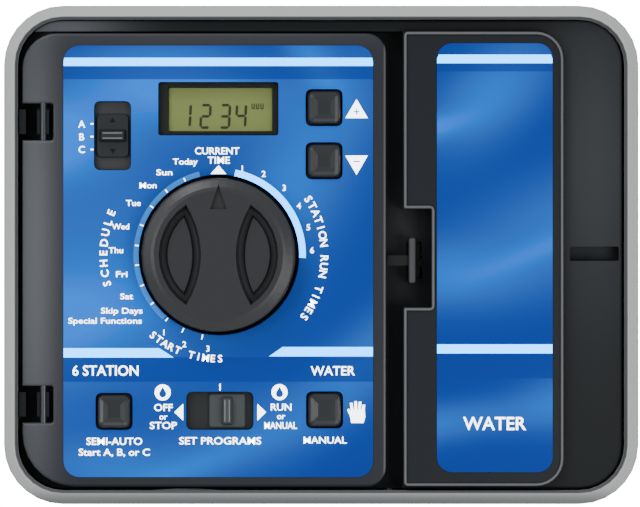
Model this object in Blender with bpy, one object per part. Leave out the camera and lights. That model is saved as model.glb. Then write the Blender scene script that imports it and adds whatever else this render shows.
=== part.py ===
"""Six-station irrigation controller: a wall cabinet with a swing-out control module."""

import math

import bmesh
import bpy
from mathutils import Matrix, Vector

# All named lengths are millimetres. X runs right, Z up, and the front faces -Y.
# The wall plane is Y = 0 and the origin is the middle of the cabinet's back face.
MM = 0.001

CABINET_W = 273.0
CABINET_H = 214.5
CABINET_R = 25.5
RIM_FRONT = -88.0
RIM_WIDTH = 6.0
WALL = 2.8
BACK_WALL = 2.5
LIP_BACK = -82.0

FRAME_W = 260.4
FRAME_H = 201.8
FRAME_R = 19.1
FRAME_BACK = -68.5
FRAME_FLOOR = -72.0
PLATEAU = -83.0
BAND_LOW = 96.0

PIN_X = -119.6
PIN_Y = -82.4
PIN_R = 1.5
NOTCHES = ((49.3, 65.2), (-72.2, -56.3))

MODULE_X = (-128.5, 27.9)
MODULE_Z = (-99.8, 95.4)
MODULE_FRONT = -84.5
MODULE_PLATE_BACK = -82.0
MODULE_SKIRT_BACK = -77.5

REAR_X = (-112.0, 21.0)
REAR_Z = (-94.0, 90.0)
REAR_BACK = -46.0
REAR_WALL = 2.0
MODULE_BOSSES = ((-106.0, 83.5), (-106.0, -87.5), (15.0, 83.5), (15.0, -87.5))

LABEL_BACK = -84.6
LABEL_FRONT = -84.9

COVER_X = (35.2, 104.4)
COVER_Z = (-99.6, 96.2)
COVER_BACK = -83.3
COVER_FRONT = -86.2
COVER_BEAD = -87.0

DIAL_X = -43.9
DIAL_Z = 0.0
DIAL_R = 34.5

PLUS = (1.25, 63.3)
MINUS = (1.25, 40.45)
SEMI_AUTO = (-89.0, -67.25)
MANUAL = (1.45, -66.6)
CAP = 13.8

PROGRAM_SWITCH = (-89.65, 51.25, 15.9, 29.7)
FUNCTION_SWITCH = (-43.55, -67.0, 28.9, 16.4)
FUNCTION_KNOB_X = -40.4
LCD = (-44.2, 62.85, 51.6, 22.9)

BOARD_FRONT = -68.8
BOARD_BACK = -67.2

FRAME_SCREWS = ((-121.0, 86.0), (-121.0, -86.0), (42.0, 88.0), (42.0, -88.0))
COVER_SCREWS = ((72.0, 87.5), (72.0, -90.5))
TRANSFORMER_SCREWS = ((47.5, 20.0), (112.5, 20.0))
TERMINAL_SCREWS = ((-98.0, 8.0), (10.0, -56.0))
GROUND_SCREW = (50.0, -68.0)

FINE = 7
COARSE = 4


def clear_scene():
    for obj in list(bpy.data.objects):
        bpy.data.objects.remove(obj, do_unlink=True)


def new_collection(name):
    collection = bpy.data.collections.new(name)
    bpy.context.scene.collection.children.link(collection)
    return collection


def new_material(name, colour, roughness, metallic=0.0):
    material = bpy.data.materials.new(name)
    material.use_nodes = True
    shader = material.node_tree.nodes["Principled BSDF"]
    shader.inputs["Base Color"].default_value = (*colour, 1.0)
    shader.inputs["Roughness"].default_value = roughness
    shader.inputs["Metallic"].default_value = metallic
    return material


def rounded(corners, inset=0.0):
    """Points of a rounded polygon. Each corner is (x, z, radius, steps), anticlockwise."""
    points = []
    count = len(corners)
    for i, (x, z, radius, steps) in enumerate(corners):
        here = Vector((x, z))
        before = Vector(corners[i - 1][:2])
        after = Vector(corners[(i + 1) % count][:2])
        arriving = (here - before).normalized()
        leaving = (after - here).normalized()
        normal_in = Vector((-arriving.y, arriving.x))
        normal_out = Vector((-leaving.y, leaving.x))
        share = inset / (1.0 + normal_in.dot(normal_out))
        corner = here + (normal_in + normal_out) * share
        if steps == 0:
            points.append(corner)
            continue
        turn = arriving.angle_signed(leaving)
        convex = turn < 0.0
        arc = max(radius - inset, 0.08) if convex else radius + inset
        tangent = arc * math.tan(abs(turn) / 2.0)
        side = 1.0 if convex else -1.0
        centre = corner - arriving * tangent + normal_in * (arc * side)
        start = corner - arriving * tangent - centre
        for k in range(steps + 1):
            angle = -turn * k / steps
            cos_a = math.cos(angle)
            sin_a = math.sin(angle)
            spoke = Vector((start.x * cos_a - start.y * sin_a, start.x * sin_a + start.y * cos_a))
            points.append(centre + spoke)
    return points


def box_corners(x, z, radius=0.0, steps=0):
    return [
        (x[0], z[0], radius, steps),
        (x[1], z[0], radius, steps),
        (x[1], z[1], radius, steps),
        (x[0], z[1], radius, steps),
    ]


def centred(centre, width, height, radius=0.0, steps=0):
    x = (centre[0] - width / 2.0, centre[0] + width / 2.0)
    z = (centre[1] - height / 2.0, centre[1] + height / 2.0)
    return box_corners(x, z, radius, steps)


def add_loft(bm, rings):
    """Joins closed rings of 3-D points into one capped body."""
    loops = [[bm.verts.new(point) for point in ring] for ring in rings]
    count = len(loops[0])
    for low, high in zip(loops, loops[1:]):
        for k in range(count):
            following = (k + 1) % count
            bm.faces.new((low[k], low[following], high[following], high[k]))
    bm.faces.new(list(reversed(loops[0])))
    bm.faces.new(loops[-1])


def add_prism(bm, corners, levels):
    """Stacks one outline along Y. Each level is (y, inset)."""
    rings = []
    for y, inset in levels:
        rings.append([(p.x, y, p.y) for p in rounded(corners, inset)])
    add_loft(bm, rings)


def add_box(bm, x, y, z):
    size = Matrix.Diagonal((x[1] - x[0], y[1] - y[0], z[1] - z[0], 1.0))
    middle = Matrix.Translation(((x[0] + x[1]) / 2.0, (y[0] + y[1]) / 2.0, (z[0] + z[1]) / 2.0))
    bmesh.ops.create_cube(bm, size=1.0, matrix=middle @ size)


def add_rod(bm, start, end, radius, segments=24):
    start = Vector(start)
    end = Vector(end)
    along = end - start
    turn = along.to_track_quat("Z", "Y").to_matrix().to_4x4()
    bmesh.ops.create_cone(
        bm,
        cap_ends=True,
        segments=segments,
        radius1=radius,
        radius2=radius,
        depth=along.length,
        matrix=Matrix.Translation((start + end) / 2.0) @ turn,
    )


def add_turned(bm, centre, profile, segments):
    """Revolves (radius, y) points about an axis along Y through centre, with flat ends."""
    rings = []
    for radius, y in profile:
        ring = []
        for k in range(segments):
            angle = 2.0 * math.pi * k / segments
            x = centre[0] + radius * math.cos(angle)
            z = centre[1] + radius * math.sin(angle)
            ring.append((x, y, z))
        rings.append(ring)
    add_loft(bm, rings)


def make(name, bm, collection, material=None, origin=(0.0, 0.0, 0.0)):
    bmesh.ops.recalc_face_normals(bm, faces=bm.faces)
    bmesh.ops.translate(bm, vec=-Vector(origin), verts=bm.verts)
    bmesh.ops.scale(bm, vec=(MM, MM, MM), verts=bm.verts)
    mesh = bpy.data.meshes.new(name)
    bm.to_mesh(mesh)
    bm.free()
    obj = bpy.data.objects.new(name, mesh)
    obj.location = Vector(origin) * MM
    collection.objects.link(obj)
    if material is not None:
        mesh.materials.append(material)
    return obj


def tool(obj, bm, operation="DIFFERENCE"):
    """Adds a Boolean with its own cutter built from bm."""
    name = f"{obj.name}_{operation.lower()}_{len(obj.modifiers)}"
    cutter = make(name, bm, CUTTERS)
    cutter.hide_render = True
    cutter.display_type = "WIRE"
    modifier = obj.modifiers.new(name, "BOOLEAN")
    modifier.operation = operation
    modifier.solver = "EXACT"
    modifier.object = cutter


clear_scene()
PARTS = new_collection("irrigation_controller")
CUTTERS = new_collection("cutters")
MODULE_ORIGIN = (PIN_X, PIN_Y, 0.0)

GREY = new_material("cabinet_grey", (0.42, 0.42, 0.42), 0.45)
BLACK = new_material("black_plastic", (0.03, 0.032, 0.036), 0.5)
KNOB_BLACK = new_material("knob_black", (0.025, 0.027, 0.03), 0.45)
BLUE = new_material("label_blue", (0.03, 0.16, 0.5), 0.35)
CLEAR = new_material("window_clear", (0.8, 0.85, 0.85), 0.05)
LCD_GREEN = new_material("lcd_glass", (0.28, 0.3, 0.13), 0.2)
BOARD_GREEN = new_material("board_green", (0.02, 0.16, 0.07), 0.4)
STEEL = new_material("screw_steel", (0.55, 0.55, 0.55), 0.3, 1.0)
DARK_STEEL = new_material("dark_screw", (0.06, 0.06, 0.065), 0.4, 1.0)
LAMINATION = new_material("lamination_steel", (0.3, 0.3, 0.31), 0.5, 1.0)
COIL = new_material("coil_tape", (0.55, 0.38, 0.06), 0.4)
TERMINAL = new_material("terminal_green", (0.02, 0.22, 0.1), 0.4)
CERAMIC = new_material("line_terminal_beige", (0.62, 0.58, 0.48), 0.4)
RIBBON = new_material("ribbon_grey", (0.35, 0.35, 0.36), 0.5)
BATTERY = new_material("battery_case", (0.1, 0.1, 0.11), 0.35)


def build_cabinet():
    half_w = CABINET_W / 2.0
    half_h = CABINET_H / 2.0
    outer = box_corners((-half_w, half_w), (-half_h, half_h), CABINET_R, FINE)
    bm = bmesh.new()
    levels = [(0.0, 1.0), (-1.0, 0.0), (RIM_FRONT + 5.0, 0.0), (RIM_FRONT + 3.3, 0.3)]
    levels += [(RIM_FRONT + 2.4, 1.0), (RIM_FRONT + 0.4, 3.8), (RIM_FRONT, 4.5)]
    add_prism(bm, outer, levels)
    shell = make("cabinet_shell", bm, PARTS, GREY)

    bm = bmesh.new()
    levels = [(-BACK_WALL, WALL), (LIP_BACK + 3.2, WALL), (LIP_BACK, RIM_WIDTH)]
    levels += [(RIM_FRONT + 2.4, RIM_WIDTH), (RIM_FRONT + 0.8, RIM_WIDTH - 0.5)]
    levels += [(RIM_FRONT - 0.2, RIM_WIDTH - 1.2), (RIM_FRONT - 2.0, RIM_WIDTH - 1.2)]
    add_prism(bm, outer, levels)
    tool(shell, bm)

    bm = bmesh.new()
    for x, z in FRAME_SCREWS[:2]:
        add_rod(bm, (x, -BACK_WALL + 1.0, z), (x, FRAME_BACK + 0.3, z), 4.0, 16)
    for x, z in FRAME_SCREWS[2:]:
        add_rod(bm, (x, -BACK_WALL + 1.0, z), (x, -79.8, z), 4.0, 16)
    for x, z in TRANSFORMER_SCREWS:
        add_rod(bm, (x, -BACK_WALL + 1.0, z), (x, -7.9, z), 4.0, 16)
    for x, z in TERMINAL_SCREWS + (GROUND_SCREW,):
        add_rod(bm, (x, -BACK_WALL + 1.0, z), (x, -7.7, z), 3.5, 16)
    tool(shell, bm, "UNION")

    bm = bmesh.new()
    inside_h = half_h - WALL
    add_box(bm, (28.6, 30.6), (-64.0, -BACK_WALL + 1.0), (-inside_h - 0.6, inside_h + 0.6))
    tool(shell, bm, "UNION")

    bm = bmesh.new()
    for x, z in FRAME_SCREWS[:2]:
        add_rod(bm, (x, FRAME_BACK - 1.0, z), (x, -56.0, z), 1.5, 12)
    for x, z in FRAME_SCREWS[2:]:
        add_rod(bm, (x, -82.0, z), (x, -68.0, z), 1.5, 12)
    for x, z in TRANSFORMER_SCREWS:
        add_rod(bm, (x, -9.0, z), (x, -1.5, z), 1.5, 12)
    for x, z in TERMINAL_SCREWS + (GROUND_SCREW,):
        add_rod(bm, (x, -9.0, z), (x, -1.5, z), 1.3, 12)
    tool(shell, bm)

    bm = bmesh.new()
    add_rod(bm, (85.0, -40.0, -half_h - 4.0), (85.0, -40.0, -half_h + 8.0), 11.0, 32)
    add_rod(bm, (-60.0, -24.0, -half_h - 4.0), (-60.0, -24.0, -half_h + 8.0), 14.0, 32)
    tool(shell, bm)

    bm = bmesh.new()
    keyhole = []
    for k in range(13):
        angle = math.radians(120.0 + 300.0 * k / 12.0)
        keyhole.append((5.0 * math.cos(angle), 80.0 + 5.0 * math.sin(angle), 0.0, 0))
    keyhole += [(2.5, 91.0, 0.0, 0), (1.77, 92.77, 0.0, 0), (0.0, 93.5, 0.0, 0)]
    keyhole += [(-1.77, 92.77, 0.0, 0), (-2.5, 91.0, 0.0, 0)]
    add_prism(bm, keyhole, [(2.0, 0.0), (-6.0, 0.0)])
    for x in (-100.0, 100.0):
        add_rod(bm, (x, 2.0, -85.0), (x, -6.0, -85.0), 2.5, 16)
    tool(shell, bm)


def build_frame():
    half_w = FRAME_W / 2.0
    half_h = FRAME_H / 2.0
    bm = bmesh.new()
    base = box_corners((-half_w, half_w), (-half_h, half_h), FRAME_R, FINE)
    add_prism(bm, base, [(FRAME_BACK, 0.0), (-76.0, 0.0)])
    frame = make("front_frame", bm, PARTS, BLACK)

    bm = bmesh.new()
    plateau = [
        (35.0, -100.3, 0.0, 0),
        (129.4, -100.3, 18.0, FINE),
        (129.4, 100.8, 18.0, FINE),
    ]
    for k in range(6):
        angle = math.radians(90.0 + 42.8 * k / 5.0)
        plateau.append((-111.4 + 18.0 * math.cos(angle), 82.8 + 18.0 * math.sin(angle), 0.0, 0))
    plateau.append((35.0, BAND_LOW, 0.0, 0))
    levels = [(-75.0, 0.0), (PLATEAU + 0.8, 0.0), (PLATEAU + 0.2, 0.2), (PLATEAU, 0.8)]
    add_prism(bm, plateau, levels)
    tool(frame, bm, "UNION")

    bm = bmesh.new()
    floor = box_corners((-140.0, 35.0), (-110.0, BAND_LOW))
    add_prism(bm, floor, [(FRAME_FLOOR, 0.0), (-78.0, 0.0)])
    tool(frame, bm)

    bm = bmesh.new()
    add_prism(bm, box_corners((-113.5, 27.0), (-95.5, 91.5), 5.0, COARSE), [(-60.0, 0.0), (-80.0, 0.0)])
    tool(frame, bm)

    bm = bmesh.new()
    hollow = [
        (37.5, -97.8, 0.0, 0),
        (125.2, -97.8, 14.5, FINE),
        (125.2, 98.3, 14.5, FINE),
        (37.5, 98.3, 0.0, 0),
        (37.5, 22.0, 0.0, 0),
        (50.5, 22.0, 0.0, 0),
        (50.5, -26.0, 0.0, 0),
        (37.5, -26.0, 0.0, 0),
    ]
    add_prism(bm, hollow, [(-60.0, 0.0), (PLATEAU + 2.5, 0.0)])
    tool(frame, bm)

    bm = bmesh.new()
    add_box(bm, (105.4, 126.0), (-80.9, -73.0), (-4.2, 5.2))
    tool(frame, bm, "UNION")

    bm = bmesh.new()
    add_prism(bm, box_corners((30.0, 47.7), (-22.4, 19.6), 1.0, 2), [(-71.0, 0.0), (-90.0, 0.0)])
    tool(frame, bm)

    bm = bmesh.new()
    add_prism(bm, box_corners((54.0, 98.0), (-86.0, 82.5), 4.0, COARSE), [(-75.0, 0.0), (-90.0, 0.0)])
    add_prism(bm, box_corners((107.0, 128.1), (-2.6, 3.6), 0.7, 2), [(-74.6, 0.0), (-90.0, 0.0)])
    add_box(bm, (36.8, 43.7), (-80.0, -60.0), (-10.3, 5.7))
    tool(frame, bm)

    bm = bmesh.new()
    for low, high in NOTCHES:
        add_box(bm, (-122.2, -117.0), (PIN_Y - 1.0, -71.0), (low + 2.7, high - 2.7))
    add_box(bm, (48.6, 50.2), (-69.5, -63.2), (-6.0, 1.4))
    tool(frame, bm, "UNION")

    bm = bmesh.new()
    for low, high in NOTCHES:
        add_box(bm, (-129.9, -127.0), (-84.0, -71.0), (low + 2.7, high - 2.7))
    tool(frame, bm, "UNION")

    bm = bmesh.new()
    for low, high in NOTCHES:
        add_rod(bm, (PIN_X, PIN_Y, low), (PIN_X, PIN_Y, high), PIN_R + 0.15, 32)
    for x, z in COVER_SCREWS:
        add_rod(bm, (x, -90.0, z), (x, -75.0, z), 1.7, 16)
    for x, z in FRAME_SCREWS:
        add_rod(bm, (x, -90.0, z), (x, -60.0, z), 1.8, 16)
    tool(frame, bm)

    bm = bmesh.new()
    for x, z in FRAME_SCREWS[:2]:
        add_rod(bm, (x, -90.0, z), (x, -70.2, z), 3.4, 16)
    for x, z in FRAME_SCREWS[2:]:
        add_rod(bm, (x, -90.0, z), (x, -81.6, z), 3.4, 16)
        add_rod(bm, (x, -79.5, z), (x, -60.0, z), 4.4, 16)
    tool(frame, bm)


def build_frame_screws():
    for index, (x, z) in enumerate(FRAME_SCREWS):
        seat = -81.7 if index > 1 else -70.3
        bm = bmesh.new()
        profile = [(0.9, seat + 8.0), (1.4, seat + 7.0), (1.4, seat), (3.0, seat)]
        profile += [(3.0, seat - 0.7), (2.2, seat - 1.2)]
        add_turned(bm, (x, z), profile, 12)
        screw = make(f"frame_screw_{index + 1}", bm, PARTS, DARK_STEEL)
        cut_cross(screw, (x, z), seat - 1.2, 3.6, 0.7)


def cut_cross(screw, centre, front, span, depth):
    x, z = centre
    outline = []
    half = span / 2.0
    slot = 0.45
    for cx, cz in ((1, 1), (-1, 1), (-1, -1), (1, -1)):
        near = (x + slot * cx, z + slot * cz, 0.0, 0)
        along_x = (x + half * cx, z + slot * cz, 0.0, 0)
        along_z = (x + slot * cx, z + half * cz, 0.0, 0)
        if cx * cz > 0:
            outline += [along_x, near, along_z]
        else:
            outline += [along_z, near, along_x]
    bm = bmesh.new()
    add_prism(bm, outline, [(front + depth, 0.0), (front - 1.0, 0.0)])
    tool(screw, bm)


def module_outline():
    left, right = MODULE_X
    low, high = MODULE_Z
    notch = -115.3
    corners = [
        (left, low, 23.0, FINE),
        (right, low, 8.5, FINE),
        (right, high, 8.5, FINE),
        (left, high, 15.0, FINE),
    ]
    for bottom, top in NOTCHES:
        corners.append((left, top, 0.0, 0))
        corners.append((notch, top, 1.0, 2))
        corners.append((notch, bottom, 1.0, 2))
        corners.append((left, bottom, 0.0, 0))
    return corners


def build_module_face():
    bm = bmesh.new()
    levels = [(MODULE_SKIRT_BACK, 0.0), (MODULE_FRONT + 1.1, 0.0), (MODULE_FRONT + 0.3, 0.35)]
    levels.append((MODULE_FRONT, 1.1))
    add_prism(bm, module_outline(), levels)
    face = make("module_face", bm, PARTS, BLACK, MODULE_ORIGIN)

    bm = bmesh.new()
    pocket = [
        (-113.0, -98.0, 2.0, 2),
        (25.9, -98.0, 6.5, COARSE),
        (25.9, 93.4, 6.5, COARSE),
        (-113.0, 93.4, 2.0, 2),
    ]
    add_prism(bm, pocket, [(-70.0, 0.0), (MODULE_PLATE_BACK, 0.0)])
    tool(face, bm)

    bm = bmesh.new()
    for centre in (PLUS, MINUS, SEMI_AUTO, MANUAL):
        well = centred(centre, 15.9, 15.9, 2.4, 3)
        add_prism(bm, well, [(-80.0, 0.65), (-83.2, 0.65), (-84.6, 0.0), (-86.0, 0.0)])
    for x, z, width, height in (PROGRAM_SWITCH, FUNCTION_SWITCH):
        well = centred((x, z), width, height, 2.4, 3)
        add_prism(bm, well, [(-80.0, 0.3), (-83.6, 0.3), (-84.6, 0.0), (-86.0, 0.0)])
    add_prism(bm, centred(LCD[:2], LCD[2], LCD[3], 1.0, 2), [(-80.0, 0.0), (-86.0, 0.0)])
    add_rod(bm, (DIAL_X, -86.0, DIAL_Z), (DIAL_X, -80.0, DIAL_Z), 4.5, 24)
    tool(face, bm)

    bm = bmesh.new()
    for x, z in MODULE_BOSSES:
        add_rod(bm, (x, -83.0, z), (x, -48.4, z), 3.2, 16)
    for x, z in ((-77.0, 76.5), (5.0, 76.5), (-96.0, -81.0), (5.0, -81.0)):
        add_rod(bm, (x, -83.0, z), (x, BOARD_FRONT - 0.3, z), 2.5, 12)
    tool(face, bm, "UNION")

    bm = bmesh.new()
    for low, high in NOTCHES:
        add_rod(bm, (PIN_X, PIN_Y, low - 8.0), (PIN_X, PIN_Y, high + 8.0), PIN_R + 0.06, 24)
    for x, z in MODULE_BOSSES:
        add_rod(bm, (x, -40.0, z), (x, -57.0, z), 1.45, 12)
    tool(face, bm)


def build_hinge_pins():
    for name, (low, high) in zip(("hinge_pin_upper", "hinge_pin_lower"), NOTCHES):
        bm = bmesh.new()
        add_rod(bm, (PIN_X, PIN_Y, low - 7.5), (PIN_X, PIN_Y, high + 7.5), PIN_R, 24)
        make(name, bm, PARTS, DARK_STEEL, MODULE_ORIGIN)


def build_rear_cover():
    bm = bmesh.new()
    outer = box_corners(REAR_X, REAR_Z, 4.0, COARSE)
    add_prism(bm, outer, [(REAR_BACK, 1.0), (REAR_BACK - 1.0, 0.0), (MODULE_PLATE_BACK + 0.3, 0.0)])
    cover = make("module_rear_cover", bm, PARTS, BLACK, MODULE_ORIGIN)

    bm = bmesh.new()
    add_prism(bm, outer, [(REAR_BACK - REAR_WALL, REAR_WALL), (-90.0, REAR_WALL)])
    tool(cover, bm)

    bm = bmesh.new()
    add_box(bm, (-66.0, 4.0), (-46.5, -42.6), (-78.6, -76.3))
    add_box(bm, (-66.0, 4.0), (-46.5, -42.6), (-36.7, -34.4))
    tool(cover, bm, "UNION")

    bm = bmesh.new()
    add_box(bm, (-70.0, 1.4), (-45.9, -43.4), (-77.5, -35.5))
    add_box(bm, (-70.0, 1.4), (-44.0, -40.0), (-74.6, -38.4))
    tool(cover, bm)

    bm = bmesh.new()
    add_prism(bm, box_corners((-57.0, -1.0), (-71.5, -41.5), 1.5, 2), [(-40.0, 0.0), (-52.0, 0.0)])
    for x, z in MODULE_BOSSES:
        add_rod(bm, (x, -40.0, z), (x, -50.0, z), 1.7, 12)
    add_prism(bm, box_corners((-106.6, -93.4), (-13.6, 14.6), 1.0, 2), [(-40.0, 0.0), (-52.0, 0.0)])
    tool(cover, bm)

    for index, (x, z) in enumerate(MODULE_BOSSES):
        bm = bmesh.new()
        profile = [(0.9, -55.5), (1.35, -54.5), (1.35, -45.9), (2.8, -45.9), (2.8, -45.0)]
        profile.append((2.0, -44.3))
        add_turned(bm, (x, z), profile, 12)
        screw = make(f"module_screw_{index + 1}", bm, PARTS, DARK_STEEL, MODULE_ORIGIN)
        cut_cross_back(screw, (x, z), -44.3)


def cut_cross_back(screw, centre, back):
    x, z = centre
    bm = bmesh.new()
    add_box(bm, (x - 1.6, x + 1.6), (back - 0.6, back + 1.0), (z - 0.4, z + 0.4))
    tool(screw, bm)


def build_battery():
    bm = bmesh.new()
    battery = box_corners((-55.5, -7.0), (-69.8, -43.3), 2.0, 3)
    add_prism(bm, battery, [(-48.6, 0.6), (-49.2, 0.0), (-65.4, 0.0), (-66.0, 0.6)])
    make("battery_9v", bm, PARTS, BATTERY, MODULE_ORIGIN)

    bm = bmesh.new()
    add_prism(bm, box_corners((-6.6, -2.0), (-68.0, -45.0), 1.0, 2), [(-50.5, 0.0), (-63.5, 0.0)])
    make("battery_snap", bm, PARTS, BLACK, MODULE_ORIGIN)

    bm = bmesh.new()
    add_prism(bm, box_corners((-63.0, 1.0), (-76.0, -37.0), 1.0, 2), [(-45.7, 0.0), (-43.7, 0.0)])
    cover = make("battery_cover", bm, PARTS, BLACK, (-31.0, -44.7, -56.5))
    bm = bmesh.new()
    for k in range(4):
        x = -56.0 + 3.0 * k
        add_box(bm, (x, x + 1.2), (-43.9, -43.0), (-68.0, -45.0))
    tool(cover, bm, "UNION")


def build_module_electronics():
    bm = bmesh.new()
    add_prism(bm, box_corners((-101.0, 10.0), (-84.0, 80.0), 1.5, 2), [(BOARD_BACK, 0.0), (BOARD_FRONT, 0.0)])
    make("main_board", bm, PARTS, BOARD_GREEN, MODULE_ORIGIN)

    bm = bmesh.new()
    body = centred((DIAL_X, DIAL_Z), 30.0, 30.0, 3.0, 3)
    add_prism(bm, body, [(BOARD_FRONT - 0.1, 0.0), (-77.5, 0.0), (-78.0, 0.5)])
    rotary = make("rotary_switch_body", bm, PARTS, KNOB_BLACK, MODULE_ORIGIN)
    bm = bmesh.new()
    add_rod(bm, (DIAL_X, -80.0, DIAL_Z), (DIAL_X, -70.2, DIAL_Z), 3.12, 24)
    tool(rotary, bm)

    for index, (x, z) in enumerate((PLUS, MINUS, SEMI_AUTO, MANUAL)):
        bm = bmesh.new()
        add_prism(bm, centred((x, z), 6.2, 6.2, 0.6, 2), [(BOARD_FRONT - 0.1, 0.0), (-73.0, 0.0)])
        switch = make(f"tact_switch_{index + 1}", bm, PARTS, KNOB_BLACK, MODULE_ORIGIN)
        bm = bmesh.new()
        add_rod(bm, (x, -75.0, z), (x, -71.2, z), 2.0, 16)
        tool(switch, bm)

    x, z = PROGRAM_SWITCH[:2]
    bm = bmesh.new()
    add_prism(bm, centred((x, z), 11.0, 24.0, 0.8, 2), [(BOARD_FRONT - 0.1, 0.0), (-77.0, 0.0)])
    body = make("program_switch_body", bm, PARTS, KNOB_BLACK, MODULE_ORIGIN)
    bm = bmesh.new()
    add_box(bm, (x - 1.5, x + 1.5), (-80.0, -71.0), (z - 7.3, z + 7.3))
    tool(body, bm)

    x, z = FUNCTION_SWITCH[:2]
    bm = bmesh.new()
    add_prism(bm, centred((x, z), 24.0, 11.0, 0.8, 2), [(BOARD_FRONT - 0.1, 0.0), (-77.0, 0.0)])
    body = make("function_switch_body", bm, PARTS, KNOB_BLACK, MODULE_ORIGIN)
    bm = bmesh.new()
    add_box(bm, (x - 5.7, x + 5.7), (-80.0, -71.0), (z - 1.5, z + 1.5))
    tool(body, bm)


def build_lcd():
    x, z, width, height = LCD
    bm = bmesh.new()
    window = centred((x, z), width - 0.6, height - 0.6, 0.8, 2)
    add_prism(bm, window, [(-82.3, 0.0), (-83.7, 0.0), (-84.0, 0.3)])
    make("lcd_window", bm, PARTS, CLEAR, MODULE_ORIGIN)

    bm = bmesh.new()
    bezel = centred((x, z), 56.0, 27.0, 1.0, 2)
    add_prism(bm, bezel, [(-80.0, 0.0), (-81.7, 0.0)])
    frame = make("lcd_frame", bm, PARTS, KNOB_BLACK, MODULE_ORIGIN)
    bm = bmesh.new()
    hole = box_corners((-66.2, -20.5), (52.7, 72.5), 0.6, 2)
    add_prism(bm, hole, [(-79.0, 0.6), (-80.2, 0.6), (-81.9, 0.0), (-83.0, 0.0)])
    tool(frame, bm)

    bm = bmesh.new()
    add_prism(bm, centred((x, z), 52.0, 25.0, 0.5, 2), [(-76.8, 0.0), (-79.7, 0.0)])
    make("lcd_cell", bm, PARTS, LCD_GREEN, MODULE_ORIGIN)


def build_face_label():
    bm = bmesh.new()
    label = box_corners((-110.8, 22.3), (-95.5, 90.0), 7.0, FINE)
    add_prism(bm, label, [(LABEL_BACK, 0.0), (LABEL_FRONT, 0.0)])
    sheet = make("face_label", bm, PARTS, BLUE, MODULE_ORIGIN)
    bm = bmesh.new()
    for centre in (PLUS, MINUS, SEMI_AUTO, MANUAL):
        add_prism(bm, centred(centre, 15.9, 15.9, 2.4, 3), [(-82.0, 0.0), (-87.0, 0.0)])
    for x, z, width, height in (PROGRAM_SWITCH, FUNCTION_SWITCH):
        add_prism(bm, centred((x, z), width, height, 2.4, 3), [(-82.0, 0.0), (-87.0, 0.0)])
    add_prism(bm, centred(LCD[:2], LCD[2], LCD[3], 1.0, 2), [(-82.0, 0.0), (-87.0, 0.0)])
    add_rod(bm, (DIAL_X, -87.0, DIAL_Z), (DIAL_X, -82.0, DIAL_Z), 24.0, 32)
    tool(sheet, bm)


def build_buttons():
    names = ("plus_button", "minus_button", "semi_auto_button", "manual_button")
    for name, centre in zip(names, (PLUS, MINUS, SEMI_AUTO, MANUAL)):
        bm = bmesh.new()
        cap = centred(centre, CAP, CAP, 2.4, 3)
        stem = CAP / 2.0 - 1.3
        levels = [(-73.3, stem), (-80.2, stem), (-80.2, -1.2), (-81.5, -1.2), (-81.5, 0.0)]
        levels += [(-86.0, 0.0), (-86.5, 0.4), (-86.6, 1.0), (-86.1, 2.2), (-85.7, 4.2)]
        add_prism(bm, cap, levels)
        make(name, bm, PARTS, KNOB_BLACK, (centre[0], -86.6, centre[1]))


def build_slide_switches():
    x, z = PROGRAM_SWITCH[:2]
    bm = bmesh.new()
    add_prism(bm, centred((x, z), 18.4, 39.0, 1.0, 2), [(-80.1, 0.0), (-81.6, 0.0)])
    knob = make("program_switch_knob", bm, PARTS, KNOB_BLACK, (x, -83.0, z))
    bm = bmesh.new()
    add_box(bm, (x - 1.1, x + 1.1), (-81.0, -72.0), (z - 2.0, z + 2.0))
    add_prism(bm, centred((x, z), 14.2, 18.8, 2.2, 3), [(-81.0, 0.0), (-82.9, 0.0), (-83.3, 0.5)])
    tool(knob, bm, "UNION")
    bm = bmesh.new()
    ridge = centred((x, z), 12.6, 6.4, 1.0, 3)
    add_prism(bm, ridge, [(-82.0, 0.0), (-84.6, 1.0), (-86.0, 1.3), (-86.4, 1.8)])
    tool(knob, bm, "UNION")

    x = FUNCTION_KNOB_X
    z = FUNCTION_SWITCH[1]
    bm = bmesh.new()
    flange = box_corners((x - 18.0, x + 14.0), (z - 9.4, z + 9.4), 1.0, 2)
    add_prism(bm, flange, [(-80.1, 0.0), (-81.6, 0.0)])
    knob = make("function_switch_knob", bm, PARTS, KNOB_BLACK, (x, -83.0, z))
    bm = bmesh.new()
    add_box(bm, (x - 1.5, x + 1.5), (-81.0, -72.0), (z - 1.1, z + 1.1))
    add_prism(bm, centred((x, z), 15.6, 14.8, 1.2, 3), [(-81.0, 0.0), (-82.9, 0.0), (-83.3, 0.5)])
    tool(knob, bm, "UNION")
    bm = bmesh.new()
    ridge = centred((x, z), 6.0, 13.2, 1.0, 3)
    add_prism(bm, ridge, [(-82.0, 0.0), (-84.6, 1.0), (-86.0, 1.3), (-86.4, 1.8)])
    tool(knob, bm, "UNION")


def lens(centre_x, side, outer, flat, tip, steps=10):
    """A crescent between an outer arc about the dial's centre and a shallow inner arc."""
    corners = []
    angle_tip = math.asin(tip / outer)
    for k in range(steps + 1):
        angle = -angle_tip + 2.0 * angle_tip * k / steps
        corners.append((outer * math.cos(angle), outer * math.sin(angle)))
    edge = corners[-1][0]
    for k in range(1, steps):
        t = 1.0 - 2.0 * k / steps
        corners.append((flat + (edge - flat) * t * t, tip * t))
    points = [(centre_x + side * px, DIAL_Z + pz, 0.0, 0) for px, pz in corners]
    return points if side > 0 else list(reversed(points))


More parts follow.
